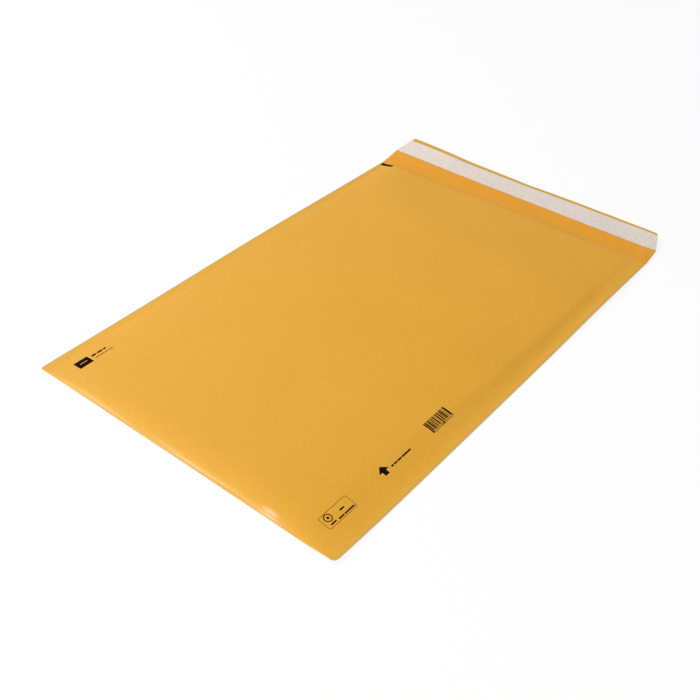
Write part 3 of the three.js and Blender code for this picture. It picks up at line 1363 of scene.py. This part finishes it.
@dataclass
class PrintedMarks:
    """Plain marks printed on the front: blocks, bars, a frame, an arrow and a bar code.

    Each mark is a thin film of ink that follows the front panel, from a little in the paper
    to a little above it. Its text lines run along the envelope, and their tops face the left
    edge. Places and sizes are given across first, and the block's slot as shares of it.
    """

    form: EnvelopeForm
    ink_high: float = 0.06
    ink_low: float = -0.05
    cell: float = 1.0
    cell_length: float = 3.0
    word_space: float = 0.55
    finish: InkFinish = InkFinish()
    block_corner: Place = (-140.1, 18.5)
    block_size: Place = (10.2, 13.6)
    block_slot: Place = (0.44, 0.24)
    slot_width: float = 0.9
    slot_share: float = 0.52
    block_lines: tuple[WordLine, ...] = (
        WordLine((-137.8, 34.8), 2.1, (4.6, 5.4, 2.5)),
        WordLine((-132.6, 35.7), 0.8, (3.4, 5.6, 2.6, 5.2)),
    )
    frame_corner: Place = (128.2, 18.8)
    frame_size: Place = (12.0, 29.3)
    frame_radius: float = 1.2
    frame_line: float = 0.28
    arc_points: int = 6
    side_points: int = 12
    ring_centre: Place = (132.4, 24.9)
    ring_radius: float = 3.5
    ring_line: float = 0.8
    dot_radii: Place = (0.02, 1.05)
    circle_points: int = 32
    frame_lines: tuple[WordLine, ...] = (
        WordLine((137.2, 22.2), 1.2, (5.6,)),
        WordLine((133.4, 35.8), 1.3, (4.6,)),
        WordLine((137.7, 30.0), 1.2, (5.6, 10.6)),
    )
    arrow_tip: Place = (130.1, 85.4)
    tip_half: float = 0.05
    head_size: Place = (4.8, 5.4)
    stem_size: Place = (3.6, 2.2)
    sign_line: WordLine = WordLine((135.3, 92.8), 1.3, (2.6, 3.6, 4.4, 10.6))
    code_corner: Place = (128.6, 141.8)
    code_height: float = 9.5
    code_guard: float = 1.4
    code_module: float = 0.45
    code_modules: int = 58
    code_seed: int = 53
    bar_modules: tuple[int, int] = (1, 4)
    gap_modules: tuple[int, int] = (1, 3)
    end_modules: int = 3
    tick_gap: float = 0.6
    tick_size: Place = (1.1, 0.9)
    tick_run: Place = (1.6, -1.5)
    tick_pitch: float = 1.95
    mouth_bar_start: Place = (-158.2, 457.2)
    mouth_bar_end: Place = (-142.8, 457.2)
    mouth_bar_width: float = 4.8
    mouth_bar_points: tuple[int, int] = (24, 4)

    def patch(self, places: Array) -> Shell:
        """Closed thin film of ink over a grid of places on the front panel."""
        x, v = places[..., 0], self.form.station(places[..., 1])
        return Shell.sheet(*(self.form.point(x, v, -high) for high in (self.ink_high, self.ink_low)))

    def quad(self, corners: list[Place]) -> Shell:
        """Ink inside four corners: a grid that mixes them along both of its directions.

        Args:
            corners: Four places, two on the near side and then two on the far side.

        Returns:
            The patch.
        """
        a, b, c, d = np.asarray(corners, dtype=float)
        across = max(2, math.ceil(np.linalg.norm(b - a) / self.cell) + 1)
        along = max(2, math.ceil(np.linalg.norm(c - a) / self.cell_length) + 1)
        s = np.linspace(0.0, 1.0, across)[None, :, None]
        t = np.linspace(0.0, 1.0, along)[:, None, None]
        return self.patch(blend(blend(a, b, s), blend(c, d, s), t))

    def box(self, x: float, y: float, across: float, along: float) -> Shell:
        """Ink inside an upright rectangle given by its corner and its two sizes."""
        far_x, far_y = x + across, y + along
        return self.quad([(x, y), (far_x, y), (x, far_y), (far_x, far_y)])

    def band(self, inner: Array, outer: Array) -> Shell:
        """Ink between two closed outlines with as many points each."""
        grid = np.stack([inner, outer])
        return self.patch(np.concatenate([grid, grid[:, :1]], axis=1))

    def disc_band(self, inner: float, outer: float) -> Shell:
        """Ink between two circles round the ring's centre.

        Args:
            inner: Radius of the inner circle.
            outer: Radius of the outer circle.

        Returns:
            The patch.
        """
        turn = np.linspace(0.0, 2.0 * math.pi, self.circle_points + 1)[:-1]
        circle = np.stack([np.cos(turn), np.sin(turn)], -1)
        return self.band(self.ring_centre + circle * inner, self.ring_centre + circle * outer)

    def bars(self, lines: tuple[WordLine, ...]) -> list[Shell]:
        """One plain bar for each word of the lines, a share of their height apart.

        Args:
            lines: The text lines.

        Returns:
            The bars.
        """
        shells = []
        for line in lines:
            x, start = line.place
            for word in line.words:
                shells.append(self.box(x, start, line.height, word))
                start += word + self.word_space * line.height
        return shells

    def corner_block(self) -> list[Shell]:
        """A solid block with a thin line left bare in it, and two text lines beside it.

        Returns:
            The block's four boxes and the lines' bars.
        """
        (x, y), (across, along) = self.block_corner, self.block_size
        slot_x, slot_y = x + across * self.block_slot[0], y + along * self.block_slot[1]
        far_x, far_y = slot_x + self.slot_width, slot_y + along * self.slot_share
        return [
            self.box(x, y, slot_x - x, along),
            self.box(far_x, y, x + across - far_x, along),
            self.box(slot_x, y, self.slot_width, slot_y - y),
            self.box(slot_x, far_y, self.slot_width, y + along - far_y),
            *self.bars(self.block_lines),
        ]

    def rounded_outline(self, shrink: float) -> Array:
        """Rounded rectangle: quarter circles round its corners, joined by divided sides.

        Args:
            shrink: Distance that the outline lies inside the frame's own.

        Returns:
            Places of the outline.
        """
        low = np.array(self.frame_corner) + self.frame_radius
        high = np.array(self.frame_corner) + np.array(self.frame_size) - self.frame_radius
        centres = np.array([high, (low[0], high[1]), low, (high[0], low[1])])[:, None]
        turn = np.linspace(0.0, math.pi / 2.0, self.arc_points)
        angle = np.arange(4)[:, None] * math.pi / 2.0 + turn
        circle = np.stack([np.cos(angle), np.sin(angle)], -1)
        arcs = centres + circle * (self.frame_radius - shrink)
        shares = np.linspace(0.0, 1.0, self.side_points)[None, 1:-1, None]
        sides = blend(arcs[:, -1:], np.roll(arcs[:, :1], -1, axis=0), shares)
        return np.concatenate([arcs, sides], axis=1).reshape(-1, 2)

    def panel_frame(self) -> list[Shell]:
        """A thin rounded frame that holds a ring with a dot and the bars of three lines.

        Returns:
            The frame, the ring, the dot and the bars.
        """
        return [
            self.band(self.rounded_outline(self.frame_line), self.rounded_outline(0.0)),
            self.disc_band(self.ring_radius - self.ring_line, self.ring_radius),
            self.disc_band(*self.dot_radii),
            *self.bars(self.frame_lines),
        ]

    def pack_sign(self) -> list[Shell]:
        """A plain arrow that points to the left edge, and a text line's bars beside it.

        Returns:
            The arrow's head and stem, and the bars.
        """
        (x, y), (length, half) = self.arrow_tip, self.head_size
        neck = x + length
        near, far = (x, y - self.tip_half), (x, y + self.tip_half)
        return [
            self.quad([near, far, (neck, y - half), (neck, y + half)]),
            self.box(neck, y - self.stem_size[1], self.stem_size[0], 2.0 * self.stem_size[1]),
            *self.bars((self.sign_line,)),
        ]

    def bar_code(self) -> list[Shell]:
        """Seeded bars of one to three modules with guard bars, and ticks along their feet.

        Returns:
            The bars and the ticks.
        """
        x, y = self.code_corner
        draw = np.random.default_rng(self.code_seed)
        bars = []
        place = 0
        while place < self.code_modules - self.end_modules:
            wide = int(draw.integers(*self.bar_modules))
            guard = place == 0 or abs(place - self.code_modules // 2) < self.end_modules
            long = self.code_height + (self.code_guard if guard else 0.0)
            bars.append(self.box(x, y + place * self.code_module, long, wide * self.code_module))
            place += wide + int(draw.integers(*self.gap_modules))
        end = y + (self.code_modules - 2) * self.code_module
        bars.append(self.box(x, end, self.code_height + self.code_guard, 2.0 * self.code_module))
        foot = x + self.code_height + self.tick_gap
        ticks = np.arange(y + self.tick_run[0], end + self.tick_run[1], self.tick_pitch)
        return bars + [self.box(foot, float(tick), *self.tick_size) for tick in ticks]

    def mouth_mark(self) -> list[Shell]:
        """A register bar along the mouth's edge, from the left side in.

        Returns:
            The bar.
        """
        long, wide = self.mouth_bar_points
        shares = np.linspace(0.0, 1.0, long)[:, None]
        middle = blend(np.array(self.mouth_bar_start), np.array(self.mouth_bar_end), shares)
        half = np.array([0.0, self.mouth_bar_width / 2.0])
        return [self.patch(middle[None] + np.linspace(-1.0, 1.0, wide)[:, None, None] * half)]

    def build(self) -> None:
        """Builds and dresses the five marks."""
        ink = self.finish.material()
        marks = {
            "print_corner_block": self.corner_block(),
            "print_panel_frame": self.panel_frame(),
            "print_pack_sign": self.pack_sign(),
            "print_bar_code": self.bar_code(),
            "print_mouth_mark": self.mouth_mark(),
        }
        for name, shells in marks.items():
            Shell.joined(shells).build(name, self.form, [ink] * 2, "black_ink")


@dataclass(frozen=True)
class Lamp:
    """A rectangular area lamp that shines at the envelope, with its lengths in metres."""

    name: str
    towards: Triple
    power: float
    distance: float = 2.4
    size: Place = (1.8, 1.6)

    def build(self) -> None:
        """Makes the lamp and turns its face to the envelope."""
        lamp = bpy.data.lights.new(self.name, "AREA")
        lamp.shape = "RECTANGLE"
        lamp.size, lamp.size_y = self.size
        lamp.energy = self.power
        direction = Vector(self.towards).normalized()
        holder = placed(self.name, lamp)
        holder.location = direction * self.distance
        holder.rotation_euler = direction.to_track_quat("Z", "Y").to_euler()


@dataclass
class Studio:
    """The floor, the lamps, the world and the camera that the envelope is shown with.

    Its lengths are metres. The camera sees a share of the plain backdrop in the floor, and
    the ambient is the strength of the world on the object.
    """

    floor_tone: Colour = (0.96, 0.96, 0.96)
    floor_gain: float = 1.01
    floor_grain: float = 6.0
    floor_roughness: float = 0.9
    floor_half: float = 12.0
    floor_drop: float = 0.0003
    backdrop_share: float = 0.86
    backdrop_tone: Colour = (1.0, 1.0, 1.0)
    ambient: float = 0.238
    lamps: tuple[Lamp, ...] = (
        Lamp("key_lamp", (-0.49, -0.50, 0.71), 35.0),
        Lamp("rear_lamp", (-0.75, 0.10, 0.66), 18.6),
        Lamp("side_lamp", (0.55, -0.60, 0.58), 21.6),
    )
    camera_target: Triple = (0.02309, -0.07233, 0.0)
    camera_azimuth: float = math.radians(39.461)
    camera_elevation: float = math.radians(39.274)
    camera_roll: float = math.radians(-0.065)
    camera_distance: float = 0.81801
    camera_range: Place = (0.01, 100.0)
    focal_pixels: float = 959.27

    def floor_material(self) -> bpy.types.Material:
        """A pale matt floor that is mixed with the plain backdrop where it is seen.

        Returns:
            The floor's material.
        """
        floor = Surface("studio_floor")
        paler = tuple(min(1.0, tone * self.floor_gain) for tone in self.floor_tone)
        tone = floor.mottle(self.floor_tone, paler, floor.noise(self.floor_grain, detail=2.0))
        floor.dress(Base_Color=tone, Roughness=self.floor_roughness, Specular_IOR_Level=0.0)
        glow = floor.add("Emission")
        floor.feed(glow.inputs["Color"], self.backdrop_tone)
        mixed = floor.add("MixShader")
        share = floor.combine("MULTIPLY", floor.seen(), self.backdrop_share)
        for place, part in enumerate((share, floor.shader.outputs["BSDF"], glow.outputs["Emission"])):
            floor.feed(mixed.inputs[place], part)
        floor.feed(floor.output.inputs["Surface"], mixed.outputs[0])
        return floor.material

    def build_floor(self) -> None:
        """A flat square just under the envelope."""
        half, z = self.floor_half, -self.floor_drop
        corners = [(-half, -half, z), (half, -half, z), (half, half, z), (-half, half, z)]
        mesh = bpy.data.meshes.new("studio_floor")
        mesh.from_pydata(corners, [], [(0, 1, 2, 3)])
        mesh.materials.append(self.floor_material())
        placed("studio_floor", mesh)

    def build_world(self) -> None:
        """A soft grey surround that is plain white where it is seen."""
        world = bpy.data.worlds.new("studio_world")
        world.use_nodes = True
        graph = NodeGraph(world.node_tree)
        background = next(n for n in graph.tree.nodes if n.type == "BACKGROUND")
        graph.feed(background.inputs["Color"], self.backdrop_tone)
        level = graph.add("MapRange")
        graph.feed(level.inputs["Value"], graph.seen())
        graph.feed(level.inputs["To Min"], self.ambient)
        graph.feed(level.inputs["To Max"], 1.0)
        graph.feed(background.inputs["Strength"], level.outputs["Result"])
        bpy.context.scene.world = world

    def build_camera(self) -> None:
        """The camera: turned about the upright axis, tipped down, rolled, then set back."""
        camera = bpy.data.cameras.new("photo_camera")
        camera.sensor_width = SENSOR_WIDTH
        camera.lens = self.focal_pixels * SENSOR_WIDTH / IMAGE_PIXELS
        camera.clip_start, camera.clip_end = self.camera_range
        turn = Matrix.Rotation(self.camera_azimuth, 4, "Z")
        tip = Matrix.Rotation(math.pi / 2.0 - self.camera_elevation, 4, "X")
        roll = Matrix.Rotation(-self.camera_roll, 4, "Z")
        back = Matrix.Translation((0.0, 0.0, self.camera_distance))
        place = Matrix.Translation(self.camera_target)
        holder = placed("photo_camera", camera)
        holder.matrix_world = place @ turn @ tip @ roll @ back
        bpy.context.scene.camera = holder

    def build(self) -> None:
        """Builds the whole studio and sets the plain view transform."""
        bpy.context.scene.view_settings.view_transform = "Standard"
        self.build_floor()
        for lamp in self.lamps:
            lamp.build()
        self.build_world()
        self.build_camera()


def main() -> None:
    """Builds the envelope piece by piece, then the studio round it."""
    logging.basicConfig(level=logging.INFO, format="%(name)s: %(message)s")
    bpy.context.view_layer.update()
    form = EnvelopeForm.from_frame()
    log.info("%.1f mm wide, %.1f mm long", form.width, form.length)
    lining_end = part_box("bubble_lining")[1]
    KraftSheet(form).build()
    BubbleLining(form, open_end=lining_end.y / MM - form.origin_y).build()
    Closure(form).build()
    PrintedMarks(form).build()
    Studio().build()


if __name__ == "__main__":
    main()
